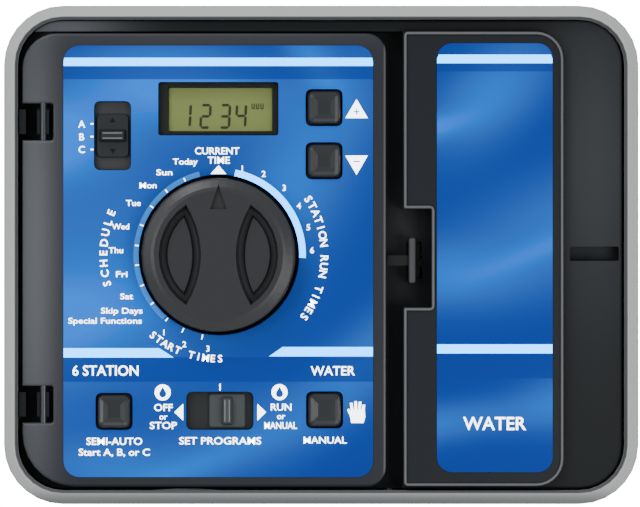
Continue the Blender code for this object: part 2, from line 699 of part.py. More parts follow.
def build_dial():
    bm = bmesh.new()
    profile = [(DIAL_R, -85.3), (DIAL_R, -86.6), (DIAL_R - 0.3, -87.2), (33.1, -93.6)]
    profile += [(32.7, -94.4), (32.0, -94.9), (29.0, -96.3), (27.6, -96.6)]
    add_turned(bm, (DIAL_X, DIAL_Z), profile, 56)
    dial = make("dial_knob", bm, PARTS, KNOB_BLACK, (DIAL_X, -91.0, DIAL_Z))

    bm = bmesh.new()
    for side in (-1.0, 1.0):
        outline = lens(DIAL_X, side, 25.6, 7.4, 21.6)
        add_prism(bm, outline, [(-90.0, 1.2), (-96.0, 0.1), (-98.0, 0.0)])
    pointer = [(DIAL_X - 3.6, 19.6, 0.0, 0), (DIAL_X + 3.6, 19.6, 0.0, 0), (DIAL_X, 30.2, 0.0, 0)]
    add_prism(bm, pointer, [(-94.6, 0.0), (-98.0, 0.0)])
    tool(dial, bm)

    bm = bmesh.new()
    for side in (-1.0, 1.0):
        outline = lens(DIAL_X, side, 22.6, 10.6, 17.2)
        add_prism(bm, outline, [(-89.0, 0.0), (-91.6, 0.1), (-92.4, 0.7)])
    tool(dial, bm, "UNION")

    bm = bmesh.new()
    add_rod(bm, (DIAL_X, -84.0, DIAL_Z), (DIAL_X, -94.0, DIAL_Z), 3.1, 24)
    tool(dial, bm)

    bm = bmesh.new()
    add_rod(bm, (DIAL_X, -93.6, DIAL_Z), (DIAL_X, -70.8, DIAL_Z), 3.0, 24)
    make("dial_shaft", bm, PARTS, STEEL, (DIAL_X, -91.0, DIAL_Z))


def build_power_cover():
    notch = [
        (COVER_X[0], COVER_Z[0], 2.0, 3),
        (COVER_X[1], COVER_Z[0], 12.0, FINE),
        (COVER_X[1], COVER_Z[1], 12.0, FINE),
        (COVER_X[0], COVER_Z[1], 2.0, 3),
        (COVER_X[0], 19.6, 1.0, 3),
        (47.2, 19.6, 0.3, 2),
        (47.2, -22.4, 0.3, 2),
        (COVER_X[0], -22.4, 1.0, 3),
    ]
    bm = bmesh.new()
    levels = [(COVER_BACK, 0.0), (COVER_FRONT + 0.3, 0.0), (COVER_FRONT - 0.3, 0.15)]
    levels += [(COVER_BEAD + 0.15, 0.5), (COVER_BEAD, 0.95), (COVER_BEAD + 0.15, 1.4)]
    levels += [(COVER_FRONT - 0.3, 1.75), (COVER_FRONT, 1.9)]
    add_prism(bm, notch, levels)
    cover = make("power_cover", bm, PARTS, BLACK)
    bm = bmesh.new()
    for x, z in COVER_SCREWS:
        add_rod(bm, (x, -80.0, z), (x, -90.0, z), 1.7, 16)
    tool(cover, bm)
    bm = bmesh.new()
    for x, z in COVER_SCREWS:
        add_rod(bm, (x, -84.8, z), (x, -90.0, z), 3.1, 16)
    tool(cover, bm)

    bm = bmesh.new()
    label = box_corners((49.7, 99.4), (-93.3, 90.9), 6.5, FINE)
    add_prism(bm, label, [(-86.28, 0.0), (-86.55, 0.0)])
    make("power_cover_label", bm, PARTS, BLUE)

    for index, (x, z) in enumerate(COVER_SCREWS):
        bm = bmesh.new()
        profile = [(0.9, -76.8), (1.4, -77.8), (1.4, -84.9), (2.7, -84.9), (2.7, -85.6)]
        profile.append((2.0, -86.0))
        add_turned(bm, (x, z), profile, 12)
        make(f"power_cover_screw_{index + 1}", bm, PARTS, DARK_STEEL)


def build_release_latch():
    bm = bmesh.new()
    blade = box_corners((37.6, 40.8), (-12.3, 7.5), 1.0, 3)
    add_prism(bm, blade, [(-71.3, 0.0), (-81.4, 0.0), (-82.0, 0.5)])
    latch = make("release_latch", bm, PARTS, KNOB_BLACK, (39.2, -76.0, -2.4))
    bm = bmesh.new()
    add_box(bm, (37.6, 40.8), (-72.0, -67.0), (-9.8, 5.2))
    add_box(bm, (28.5, 38.0), (-79.8, -77.8), (-4.6, -0.2))
    tool(latch, bm, "UNION")
    bm = bmesh.new()
    add_box(bm, (34.0, 42.6), (-68.2, -66.2), (-13.0, 8.4))
    tool(latch, bm, "UNION")
    bm = bmesh.new()
    add_box(bm, (41.0, 42.3), (-66.7, -63.4), (-5.6, 1.0))
    tool(latch, bm, "UNION")

    bm = bmesh.new()
    steps = 8
    turns = 4
    radius = 1.7
    wire = 0.3
    path = []
    for k in range(turns * steps + 1):
        angle = 2.0 * math.pi * k / steps
        along = 42.95 + 5.3 * k / (turns * steps)
        path.append(Vector((along, radius * math.cos(angle), radius * math.sin(angle))))
    rings = []
    centre = Vector((0.0, -65.6, -2.3))
    for k, point in enumerate(path):
        tangent = (path[min(k + 1, len(path) - 1)] - path[max(k - 1, 0)]).normalized()
        outward = Vector((0.0, point.y, point.z)).normalized()
        across = tangent.cross(outward).normalized()
        outward = across.cross(tangent).normalized()
        ring = []
        for j in range(6):
            angle = 2.0 * math.pi * j / 6
            offset = outward * (wire * math.cos(angle)) + across * (wire * math.sin(angle))
            ring.append(centre + point + offset)
        rings.append(ring)
    add_loft(bm, rings)
    make("latch_spring", bm, PARTS, STEEL)


def build_power_bay():
    bm = bmesh.new()
    add_box(bm, (52.0, 108.0), (-32.0, -10.0), (-5.0, 45.0))
    core = make("transformer_core", bm, PARTS, LAMINATION)
    bm = bmesh.new()
    add_box(bm, (62.0, 70.0), (-40.0, -5.0), (7.0, 33.0))
    add_box(bm, (90.0, 98.0), (-40.0, -5.0), (7.0, 33.0))
    tool(core, bm)

    bm = bmesh.new()
    coil = [
        (62.4, 7.4, 0.0, 0),
        (97.6, 7.4, 0.0, 0),
        (97.6, 32.6, 0.0, 0),
        (62.4, 32.6, 0.0, 0),
    ]
    add_prism(bm, coil, [(-5.0, 2.0), (-6.6, 0.0), (-36.2, 0.0), (-38.0, 2.0)])
    winding = make("transformer_coil", bm, PARTS, COIL)
    bm = bmesh.new()
    add_box(bm, (69.6, 90.4), (-32.4, -9.6), (0.0, 40.0))
    tool(winding, bm)

    bm = bmesh.new()
    add_prism(bm, box_corners((43.0, 117.0), (-6.0, 46.0), 2.0, 3), [(-8.2, 0.0), (-9.7, 0.0)])
    bracket = make("transformer_bracket", bm, PARTS, STEEL)
    bm = bmesh.new()
    add_box(bm, (60.5, 99.5), (-12.0, -5.0), (5.5, 34.5))
    for x, z in TRANSFORMER_SCREWS:
        add_rod(bm, (x, -12.0, z), (x, -5.0, z), 1.8, 16)
    tool(bracket, bm)

    for index, (x, z) in enumerate(TRANSFORMER_SCREWS):
        make_back_wall_screw(f"transformer_screw_{index + 1}", (x, z), -9.9, 1.35, 2.9, STEEL)

    bm = bmesh.new()
    block = box_corners((65.0, 105.0), (-75.0, -60.0), 1.0, 2)
    add_prism(bm, block, [(-2.8, 0.0), (-18.5, 0.0), (-20.0, 1.0)])
    line = make("line_terminal_block", bm, PARTS, CERAMIC)
    bm = bmesh.new()
    for k in range(3):
        x = 72.0 + 13.0 * k
        add_box(bm, (x - 1.9, x + 1.9), (-13.4, -9.6), (-80.0, -70.0))
        add_rod(bm, (x, -26.0, -66.5), (x, -15.0, -66.5), 2.4, 12)
    tool(line, bm)

    make_back_wall_screw("ground_screw", GROUND_SCREW, -8.0, 1.15, 3.2, STEEL)


def make_back_wall_screw(name, centre, seat, shank, head, material):
    bm = bmesh.new()
    profile = [(shank * 0.7, seat + 6.0), (shank, seat + 5.2), (shank, seat), (head, seat)]
    profile += [(head, seat - 0.8), (head * 0.7, seat - 1.4)]
    add_turned(bm, centre, profile, 12)
    screw = make(name, bm, PARTS, material)
    cut_cross(screw, centre, seat - 1.4, 3.2, 0.7)


def build_terminal_board():
    bm = bmesh.new()
    add_prism(bm, box_corners((-104.0, 16.0), (-62.0, 14.0), 1.5, 2), [(-8.0, 0.0), (-9.6, 0.0)])
    board = make("terminal_board", bm, PARTS, BOARD_GREEN)
    bm = bmesh.new()
    for x, z in TERMINAL_SCREWS:
        add_rod(bm, (x, -12.0, z), (x, -5.0, z), 1.7, 12)
    tool(board, bm)
    for index, (x, z) in enumerate(TERMINAL_SCREWS):
        make_back_wall_screw(f"terminal_board_screw_{index + 1}", (x, z), -9.9, 1.15, 2.6, STEEL)

    bm = bmesh.new()
    strip = box_corners((-97.0, 5.0), (-52.0, -38.0), 0.6, 2)
    add_prism(bm, strip, [(-9.8, 0.0), (-20.5, 0.0), (-22.0, 1.2)])
    block = make("terminal_block", bm, PARTS, TERMINAL)
    bm = bmesh.new()
    pitch = 10.2
    for k in range(10):
        x = -91.9 + pitch * k
        add_box(bm, (x - 1.8, x + 1.8), (-16.0, -12.4), (-56.0, -47.0))
        add_rod(bm, (x, -26.0, -43.5), (x, -17.6, -43.5), 2.2, 12)
    tool(block, bm)

    bm = bmesh.new()
    socket = box_corners((-102.0, -94.0), (-15.0, 3.5), 0.8, 2)
    add_prism(bm, socket, [(-9.8, 0.0), (-13.6, 0.0)])
    make("ribbon_socket", bm, PARTS, BLACK)

    bm = bmesh.new()
    plug = box_corners((-106.0, -94.0), (-13.0, 14.0), 0.8, 2)
    add_prism(bm, plug, [(-44.0, 0.0), (-50.5, 0.0)])
    make("ribbon_plug_module", bm, PARTS, KNOB_BLACK, MODULE_ORIGIN)

    bm = bmesh.new()
    plug = box_corners((-102.0, -94.0), (-15.0, 3.5), 0.8, 2)
    add_prism(bm, plug, [(-13.9, 0.0), (-18.4, 0.0)])
    make("ribbon_plug_board", bm, PARTS, KNOB_BLACK)


def build_ribbon_cable():
    """A flat cable that leaves the module's plug, loops sideways and comes back to the board."""
    path = [(-98.0, -43.6), (-97.2, -41.4), (-95.0, -40.4)]
    for k in range(6):
        path.append((-90.0 + 5.0 * k, -40.2))
    for k in range(1, 10):
        angle = math.pi * k / 10.0
        path.append((-65.0 + 9.6 * math.sin(angle), -30.6 - 9.6 * math.cos(angle)))
    for k in range(6):
        path.append((-65.0 - 5.0 * k, -21.0))
    path += [(-95.0, -20.8), (-97.2, -20.2), (-98.0, -18.7)]
    half = 0.45
    rings = []
    for k, (x, y) in enumerate(path):
        before = Vector(path[max(k - 1, 0)])
        after = Vector(path[min(k + 1, len(path) - 1)])
        along = (after - before).normalized()
        across = Vector((-along.y, along.x)) * half
        share = k / (len(path) - 1)
        low = -12.0 - 2.0 * share
        high = low + 16.5
        rings.append(
            [
                (x + across.x, y + across.y, low),
                (x + across.x, y + across.y, high),
                (x - across.x, y - across.y, high),
                (x - across.x, y - across.y, low),
            ]
        )
    bm = bmesh.new()
    add_loft(bm, rings)
    make("ribbon_cable", bm, PARTS, RIBBON)


build_cabinet()
build_frame()
build_frame_screws()
build_module_face()
build_hinge_pins()
build_rear_cover()
build_battery()
build_module_electronics()
build_lcd()
build_face_label()
build_buttons()
build_slide_switches()
build_dial()
build_power_cover()
build_release_latch()
build_power_bay()
build_terminal_board()
build_ribbon_cable()
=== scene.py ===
"""Looks for a six-station irrigation controller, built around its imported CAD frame."""

import math

import bmesh
import bpy
from mathutils import Matrix, Vector


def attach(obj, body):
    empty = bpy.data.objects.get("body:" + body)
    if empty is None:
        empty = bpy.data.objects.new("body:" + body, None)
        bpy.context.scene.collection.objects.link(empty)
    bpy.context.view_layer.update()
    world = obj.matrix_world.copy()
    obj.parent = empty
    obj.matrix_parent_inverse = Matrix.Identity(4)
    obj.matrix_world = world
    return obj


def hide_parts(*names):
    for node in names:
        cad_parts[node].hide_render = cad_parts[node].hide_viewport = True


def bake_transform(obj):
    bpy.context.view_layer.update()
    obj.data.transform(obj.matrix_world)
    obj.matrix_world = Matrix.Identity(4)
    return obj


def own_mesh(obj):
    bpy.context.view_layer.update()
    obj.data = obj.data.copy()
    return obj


# Lengths are millimetres in the frame's axes, and MM turns them into metres. The lights, the floor
# and the camera are in metres. The front is towards -Y.
MM = 0.001

LABEL_FRONT = -84.9
COVER_LABEL_FRONT = -86.55

# Marks start here, just in front of the display cell and the program switch, and the painted highlights
# just in front of the switch ridges.
DISPLAY_INK_AT = -79.73
SWITCH_MARK_AT = -83.31
RIDGE_HIGHLIGHT_AT = -86.41

# Print stands off its label, and print on print stands off further.
STAND_OFF = 0.02
INK = 0.03
MARK = 0.05
INK_AT = LABEL_FRONT - STAND_OFF
OVER_INK_AT = INK_AT - 0.04
COVER_INK_AT = COVER_LABEL_FRONT - STAND_OFF

DIAL = (-43.9, 0.0)
# The painted shadow ring on the dial's outer skirt starts at this radius, in mm.
DIAL_SHADOW_START = 32.7


# ---------------------------------------------------------------- materials


def linear(colour):
    """sRGB 0-255 to linear."""
    out = []
    for channel in colour:
        c = channel / 255.0
        out.append(c / 12.92 if c <= 0.04045 else ((c + 0.055) / 1.055) ** 2.4)
    return tuple(out)


def shader_of(material):
    return material.node_tree.nodes["Principled BSDF"]


def new_material(name, colour, roughness, metallic=0.0, specular=0.5, alpha=1.0):
    material = bpy.data.materials.new(name)
    material.use_nodes = True
    shader = shader_of(material)
    shader.inputs["Base Color"].default_value = (*linear(colour), 1.0)
    shader.inputs["Roughness"].default_value = roughness
    shader.inputs["Metallic"].default_value = metallic
    shader.inputs["Specular IOR Level"].default_value = specular
    shader.inputs["Alpha"].default_value = alpha
    return material


def add_node(material, kind, **settings):
    node = material.node_tree.nodes.new(kind)
    for key, value in settings.items():
        setattr(node, key, value)
    return node


def link(material, out, into):
    material.node_tree.links.new(out, into)


def position(material):
    return add_node(material, "ShaderNodeTexCoord").outputs["Object"]


def math_node(material, operation, first, second=None):
    node = add_node(material, "ShaderNodeMath", operation=operation)
    for slot, value in zip(node.inputs, (first, second)):
        if value is None:
            continue
        if isinstance(value, (int, float)):
            slot.default_value = value
        else:
            link(material, value, slot)
    return node.outputs[0]


def split_position(material):
    xyz = add_node(material, "ShaderNodeSeparateXYZ")
    link(material, position(material), xyz.inputs[0])
    return xyz


def mixed_base(material, share, first, second):
    """Base colour from first, at share 0, to second, at share 1."""
    mix = add_node(material, "ShaderNodeMix", data_type="RGBA")
    mix.inputs[6].default_value = (*linear(first), 1.0)
    mix.inputs[7].default_value = (*linear(second), 1.0)
    link(material, share, mix.inputs[0])
    link(material, mix.outputs[2], shader_of(material).inputs["Base Color"])


def ramp_share(material, value, start, end):
    """0 where value is at start and 1 where it is at end, both in mm."""
    share = add_node(material, "ShaderNodeMapRange")
    share.inputs["From Min"].default_value = start * MM
    share.inputs["From Max"].default_value = end * MM
    link(material, value, share.inputs["Value"])
    return share.outputs["Result"]


def grain(material, scale, strength, distance=0.05 * MM):
    """A fine moulded or brushed texture, as bump."""
    noise = add_node(material, "ShaderNodeTexNoise")
    noise.inputs["Scale"].default_value = scale
    noise.inputs["Detail"].default_value = 3.0
    link(material, position(material), noise.inputs["Vector"])
    bump = add_node(material, "ShaderNodeBump")
    bump.inputs["Strength"].default_value = strength
    bump.inputs["Distance"].default_value = distance
    link(material, noise.outputs["Fac"], bump.inputs["Height"])
    link(material, bump.outputs["Normal"], shader_of(material).inputs["Normal"])


def mottle(material, colour_a, colour_b, scale):
    """Slow variation between two close colours."""
    noise = add_node(material, "ShaderNodeTexNoise")
    noise.inputs["Scale"].default_value = scale
    noise.inputs["Detail"].default_value = 2.0
    link(material, position(material), noise.inputs["Vector"])
    mixed_base(material, noise.outputs["Fac"], colour_a, colour_b)


def soft_spot(material, xyz, centre, radii, turn, height):
    """A soft bump about centre that falls off along two axes, turned anticlockwise by turn degrees."""
    cos_a = math.cos(math.radians(turn))
    sin_a = math.sin(math.radians(turn))
    x = math_node(material, "SUBTRACT", xyz.outputs["X"], centre[0] * MM)
    z = math_node(material, "SUBTRACT", xyz.outputs["Z"], centre[1] * MM)
    squares = []
    for x_share, z_share, radius in ((cos_a, sin_a, radii[0]), (-sin_a, cos_a, radii[1])):
        along_x = math_node(material, "MULTIPLY", x, x_share / (radius * MM))
        along_z = math_node(material, "MULTIPLY", z, z_share / (radius * MM))
        along = math_node(material, "ADD", along_x, along_z)
        squares.append(math_node(material, "MULTIPLY", along, along))
    total = math_node(material, "ADD", *squares)
    fall = math_node(material, "EXPONENT", math_node(material, "MULTIPLY", total, -1.0))
    return math_node(material, "MULTIPLY", fall, height)


def between(material, value, low, high):
    above = math_node(material, "GREATER_THAN", value, low * MM)
    below = math_node(material, "LESS_THAN", value, high * MM)
    return math_node(material, "MULTIPLY", above, below)


DEEP_BLUE = (18, 45, 120)
MID_BLUE = (26, 73, 150)
LIGHT_BLUE = (20, 99, 200)
MID_SHARE = 0.38


def printed_blue(name, spots, dark_strips):
    """The blue overlay: soft light patches on a deep blue, with darker strips."""
    material = new_material(name, (22, 48, 126), 0.32, specular=0.02)
    xyz = split_position(material)
    total = soft_spot(material, xyz, *spots[0])
    for spot in spots[1:]:
        total = math_node(material, "ADD", total, soft_spot(material, xyz, *spot))
    for low, high, depth in dark_strips:
        strip = between(material, xyz.outputs["Z"], low, high)
        loss = math_node(material, "MULTIPLY", strip, depth)
        keep = math_node(material, "SUBTRACT", 1.0, loss)
        total = math_node(material, "MULTIPLY", total, keep)
    ramp = add_node(material, "ShaderNodeValToRGB")
    ramp.color_ramp.elements[0].color = (*linear(DEEP_BLUE), 1.0)
    ramp.color_ramp.elements[1].color = (*linear(LIGHT_BLUE), 1.0)
    middle = ramp.color_ramp.elements.new(MID_SHARE)
    middle.color = (*linear(MID_BLUE), 1.0)
    link(material, total, ramp.inputs["Fac"])
    link(material, ramp.outputs["Color"], shader_of(material).inputs["Base Color"])
    return material


def paint_light_and_shade(material, low, high, spots, painted_light_depths=None):
    """Painted light and shade: low turning to high inside soft spots of painted light and, where given,
    between the two depths of the last argument, a painted highlight or painted shade band.
    """
    xyz = split_position(material)
    total = 0.0
    for spot in spots:
        total = math_node(material, "ADD", total, soft_spot(material, xyz, *spot))
    if painted_light_depths is not None:
        total = math_node(material, "ADD", total, ramp_share(material, xyz.outputs["Y"], *painted_light_depths))
    mixed_base(material, math_node(material, "MINIMUM", total, 1.0), low, high)


def lip_with_painted_shade(material, light, dark):
    """The cabinet's grey, with painted shade on the lip's inner bevel and on its lower front edge."""
    bevel_back = -84.5
    facing_in = -0.004
    lower_edge_shade = ((0.0, -106.5), (300.0, 4.5), 0.0, 0.95)
    point = split_position(material)
    facing = add_node(material, "ShaderNodeSeparateXYZ")
    normal = add_node(material, "ShaderNodeTexCoord").outputs["Normal"]
    link(material, normal, facing.inputs[0])
    across = math_node(material, "MULTIPLY", point.outputs["X"], facing.outputs["X"])
    upward = math_node(material, "MULTIPLY", point.outputs["Z"], facing.outputs["Z"])
    outward = math_node(material, "ADD", across, upward)
    inward = math_node(material, "LESS_THAN", outward, facing_in)
    front = math_node(material, "LESS_THAN", point.outputs["Y"], bevel_back * MM)
    inner = math_node(material, "MULTIPLY", inward, front)
    lower = soft_spot(material, point, *lower_edge_shade)
    share = math_node(material, "MINIMUM", math_node(material, "ADD", inner, lower), 1.0)
    mixed_base(material, share, light, dark)


def paint_shadow_outside(material, dark, light, centre, radius, fade):
    """Painted shadow: light inside radius about centre, and outside it painted dark and dull, a painted
    shadow ring.
    """
    xyz = split_position(material)
    x = math_node(material, "SUBTRACT", xyz.outputs["X"], centre[0] * MM)
    z = math_node(material, "SUBTRACT", xyz.outputs["Z"], centre[1] * MM)
    x_square = math_node(material, "MULTIPLY", x, x)
    z_square = math_node(material, "MULTIPLY", z, z)
    distance = math_node(material, "SQRT", math_node(material, "ADD", x_square, z_square))
    away = ramp_share(material, distance, radius - fade, radius + fade)
    mixed_base(material, away, light, dark)
    gloss = math_node(material, "SUBTRACT", 1.0, away)
    specular = shader_of(material).inputs["Specular IOR Level"]
    link(material, math_node(material, "MULTIPLY", gloss, specular.default_value), specular)


def striped(material, axis, period, colour_a, colour_b, width=0.5):
    """Fine alternating stripes, such as laminations or ribbon cores."""
    xyz = split_position(material)
    cycles = math_node(material, "DIVIDE", xyz.outputs[axis], period * MM)
    phase = math_node(material, "FRACT", cycles)
    which = math_node(material, "GREATER_THAN", phase, width)
    mixed_base(material, which, colour_a, colour_b)


GREY = new_material("cabinet_grey", (146, 148, 148), 0.55, specular=0.25)
# Painted shade: the lip's inner bevel and its lower front edge turn to the darker grey.
lip_with_painted_shade(GREY, (140, 142, 142), (72, 74, 77))
grain(GREY, 2600.0, 0.25)
BLACK = new_material("black_plastic", (36, 38, 43), 0.5, specular=0.15)
mottle(BLACK, (34, 36, 41), (39, 41, 46), 14.0)
grain(BLACK, 3200.0, 0.35)
FRAME_BLACK = new_material("frame_black", (36, 38, 43), 0.5, specular=0.1)
# Painted light: lighter patches on the frame at the right, at the top left and near the latch.
paint_light_and_shade(
    FRAME_BLACK,
    (14, 17, 19),
    (68, 70, 74),
    [
        ((118.0, 45.0), (22.0, 70.0), 0.0, 0.3),
        ((-112.0, 99.0), (26.0, 12.0), 0.0, 1.0),
        ((37.0, 8.0), (8.0, 18.0), 0.0, 0.25),
    ],
)
grain(FRAME_BLACK, 3200.0, 0.35)
COVER_BLACK = new_material("cover_black", (20, 23, 27), 0.45, specular=0.12)
# Painted highlight: the cover's raised bead, in front of -86.6 mm, is lighter.
paint_light_and_shade(COVER_BLACK, (20, 23, 27), (82, 83, 86), [], (-86.6, -87.0))
grain(COVER_BLACK, 3200.0, 0.3)
PANEL_BLACK = new_material("panel_black", (40, 42, 46), 0.42, specular=0.2)
# Painted light: a lighter sheen down the left strip, and painted highlights along the top edge and the
# right edge.
paint_light_and_shade(
    PANEL_BLACK,
    (26, 29, 35),
    (66, 68, 72),
    [
        ((-123.0, 0.0), (9.0, 110.0), 0.0, 1.0),
        ((-40.0, 97.0), (90.0, 7.0), 0.0, 0.25),
        ((27.4, -5.0), (0.5, 250.0), 0.0, 1.1),
    ],
)
grain(PANEL_BLACK, 3200.0, 0.3)
DEEP = new_material("deep_black", (22, 25, 28), 0.36, specular=0.3)
grain(DEEP, 3600.0, 0.3)
LATCH = new_material("latch_black", (12, 13, 14), 0.4, specular=0.2)
# Painted highlight: the latch's front is lighter.
paint_light_and_shade(LATCH, (9, 10, 11), (52, 54, 56), [], (-81.3, -81.9))
DIAL_BLACK = new_material("dial_black", (28, 30, 33), 0.36, specular=0.3)
# Painted shadow: the dial is dark and dull outside that radius, on its skirt.
paint_shadow_outside(DIAL_BLACK, (4, 5, 6), (28, 30, 33), DIAL, DIAL_SHADOW_START, 0.3)
grain(DIAL_BLACK, 3600.0, 0.3)
SWITCH = new_material("switch_black", (44, 49, 51), 0.4, specular=0.25)
# Painted light and shade: the function switch is darker at the back and lighter at the front.
paint_light_and_shade(SWITCH, (22, 25, 27), (48, 53, 55), [], (-82.0, -83.0))
grain(SWITCH, 3600.0, 0.3)
PROGRAM_BLACK = new_material("program_switch_black", (36, 38, 41), 0.4, specular=0.25)
# Painted light and shade: the program switch is lighter at the flange and darker at the front.
paint_light_and_shade(PROGRAM_BLACK, (40, 41, 43), (20, 23, 26), [], (-82.0, -83.0))
grain(PROGRAM_BLACK, 3600.0, 0.3)
# Painted highlights: the grey of the light strips on the switch ridges.
RIDGE_HIGHLIGHT_GREY = new_material("ridge_painted_highlight", (100, 103, 105), 0.35, specular=0.3)
mottle(RIDGE_HIGHLIGHT_GREY, (92, 95, 97), (108, 111, 113), 80.0)
BEZEL = new_material("bezel_black", (14, 16, 13), 0.5, specular=0.08)
grain(BEZEL, 3600.0, 0.2)
WHITE_INK = new_material("white_ink", (244, 249, 252), 0.5, specular=0.1)
mottle(WHITE_INK, (242, 248, 252), (248, 252, 254), 60.0)
PALE_INK = new_material("pale_blue_ink", (40, 184, 250), 0.5, specular=0.0)
mottle(PALE_INK, (34, 180, 248), (48, 190, 252), 25.0)
# Painted light: the white and pale blue inks glow, so the print shows brighter than the lamps alone make
# it.
for ink, painted_glow in ((WHITE_INK, (3.4, 3.6, 3.8)), (PALE_INK, (0.0, 1.75, 6.0))):
    shader_of(ink).inputs["Emission Color"].default_value = (*painted_glow, 1.0)
    shader_of(ink).inputs["Emission Strength"].default_value = 1.0
SKY_INK = new_material("sky_ink", (46, 122, 210), 0.5, specular=0.03)
mottle(SKY_INK, (38, 108, 202), (58, 138, 222), 22.0)
LCD_BACK = new_material("lcd_back", (97, 107, 60), 0.35, specular=0.05)
mottle(LCD_BACK, (94, 104, 57), (101, 111, 64), 30.0)
LCD_INK = new_material("lcd_ink", (34, 40, 20), 0.4, specular=0.1)
mottle(LCD_INK, (32, 38, 18), (38, 44, 24), 40.0)
WINDOW = new_material("window_clear", (225, 230, 225), 0.12, specular=0.0, alpha=0.004)
mottle(WINDOW, (224, 229, 224), (228, 232, 228), 30.0)
BOARD = new_material("board_green", (24, 92, 58), 0.4)
mottle(BOARD, (20, 84, 52), (30, 100, 64), 60.0)
STEEL = new_material("zinc_steel", (168, 170, 174), 0.32, metallic=1.0)
grain(STEEL, 900.0, 0.15)
DARK_STEEL = new_material("dark_steel", (58, 60, 64), 0.4, metallic=0.9)
grain(DARK_STEEL, 1500.0, 0.2)
LAMINATED = new_material("lamination_steel", (120, 122, 126), 0.45, metallic=0.8)
COIL = new_material("coil_tape", (204, 160, 52), 0.4)
mottle(COIL, (196, 150, 44), (212, 170, 62), 80.0)
TERMINAL = new_material("terminal_green", (38, 120, 78), 0.4)
mottle(TERMINAL, (34, 112, 72), (44, 128, 86), 50.0)
BEIGE = new_material("line_terminal_beige", (206, 198, 176), 0.4)
mottle(BEIGE, (200, 192, 170), (212, 204, 184), 50.0)
RIBBON = new_material("ribbon_grey", (150, 152, 156), 0.45)
BATTERY = new_material("battery_case", (40, 42, 46), 0.3)
mottle(BATTERY, (36, 38, 42), (46, 48, 52), 40.0)
WIRE_BLACK = new_material("wire_black", (30, 30, 32), 0.4)
grain(WIRE_BLACK, 900.0, 0.1)
striped(LAMINATED, "Y", 0.7, (128, 130, 134), (96, 98, 102))
striped(RIBBON, "Z", 1.27, (160, 162, 166), (128, 130, 134), 0.75)

PANEL_BLUE = printed_blue(
    "panel_blue",
    [
        ((-122.0, 49.0), (34.0, 17.0), 11.0, 1.28),
        ((-135.0, -33.0), (62.0, 17.0), 12.0, 0.82),
        ((-9.0, 35.0), (60.0, 20.0), 60.0, 0.55),
        ((-3.0, 83.0), (8.0, 20.0), 38.0, 0.54),
        ((-60.0, -93.0), (50.0, 6.0), 21.0, 0.3),
        ((-34.0, -79.0), (54.0, 17.0), 23.0, 0.34),
        ((-108.0, -15.0), (54.0, 90.0), -62.0, 0.51),
        ((22.0, -42.0), (43.0, 13.0), 43.0, 0.47),
        ((-93.0, -93.0), (32.0, 13.0), -5.0, 0.45),
        ((-62.0, 73.0), (39.0, 15.0), -5.0, 1.04),
    ],
    [(-54.5, -44.0, 0.75), (75.5, 81.2, 0.75)],
)
COVER_BLUE = printed_blue(
    "cover_blue",
    [
        ((36.0, 51.0), (24.0, 5.0), 16.0, 1.04),
        ((50.0, -9.0), (38.0, 13.0), 0.0, 0.53),
        ((96.0, 3.0), (32.0, 5.0), 22.0, 0.36),
        ((108.0, -62.0), (22.0, 13.0), 10.0, 0.46),
        ((25.0, -76.0), (75.0, 8.0), 8.0, 0.61),
        ((73.0, 69.0), (31.0, 16.0), 41.0, 0.66),
        ((122.0, 18.0), (63.0, 22.0), 18.0, 0.58),
    ],
    [(-53.0, -42.5, 0.8), (78.8, 82.3, 0.7)],
)

MATERIALS = {
    "cabinet_shell": GREY,
    "front_frame": FRAME_BLACK,
    "power_cover": COVER_BLACK,
    "module_face": PANEL_BLACK,
    "module_rear_cover": BLACK,
    "battery_cover": BLACK,
    "battery_snap": DEEP,
    "ribbon_socket": DEEP,
    "ribbon_plug_board": DEEP,
    "ribbon_plug_module": DEEP,
    "dial_knob": DIAL_BLACK,
    "program_switch_knob": PROGRAM_BLACK,
    "function_switch_knob": SWITCH,
    "plus_button": DEEP,
    "minus_button": DEEP,
    "semi_auto_button": DEEP,
    "manual_button": DEEP,
    "release_latch": LATCH,
    "rotary_switch_body": DEEP,
    "tact_switch_1": DEEP,
    "tact_switch_2": DEEP,
    "tact_switch_3": DEEP,
    "tact_switch_4": DEEP,
    "program_switch_body": DEEP,
    "function_switch_body": DEEP,
    "lcd_frame": BEZEL,
    "lcd_cell": LCD_BACK,
    "lcd_window": WINDOW,
    "face_label": PANEL_BLUE,
    "power_cover_label": COVER_BLUE,
    "main_board": BOARD,
    "terminal_board": BOARD,
    "dial_shaft": STEEL,
    "latch_spring": DARK_STEEL,
    "transformer_bracket": STEEL,
    "transformer_core": LAMINATED,
    "transformer_coil": COIL,
    "terminal_block": TERMINAL,
    "line_terminal_block": BEIGE,
    "ribbon_cable": RIBBON,
    "battery_9v": BATTERY,
}

BRIGHT_SCREWS = ("transformer_screw", "terminal_board_screw", "ground_screw")

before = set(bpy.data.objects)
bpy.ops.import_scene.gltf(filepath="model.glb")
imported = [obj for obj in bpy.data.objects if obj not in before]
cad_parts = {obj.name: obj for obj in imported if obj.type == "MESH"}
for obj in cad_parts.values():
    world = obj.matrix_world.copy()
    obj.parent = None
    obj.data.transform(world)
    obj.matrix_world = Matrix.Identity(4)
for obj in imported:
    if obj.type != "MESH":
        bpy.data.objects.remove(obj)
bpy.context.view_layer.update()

for node_name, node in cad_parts.items():
    screw_finish = STEEL if node_name.startswith(BRIGHT_SCREWS) else DARK_STEEL
    finish = MATERIALS.get(node_name, screw_finish)
    node.data.materials.clear()
    node.data.materials.append(finish)


# ---------------------------------------------------------------- mesh helpers


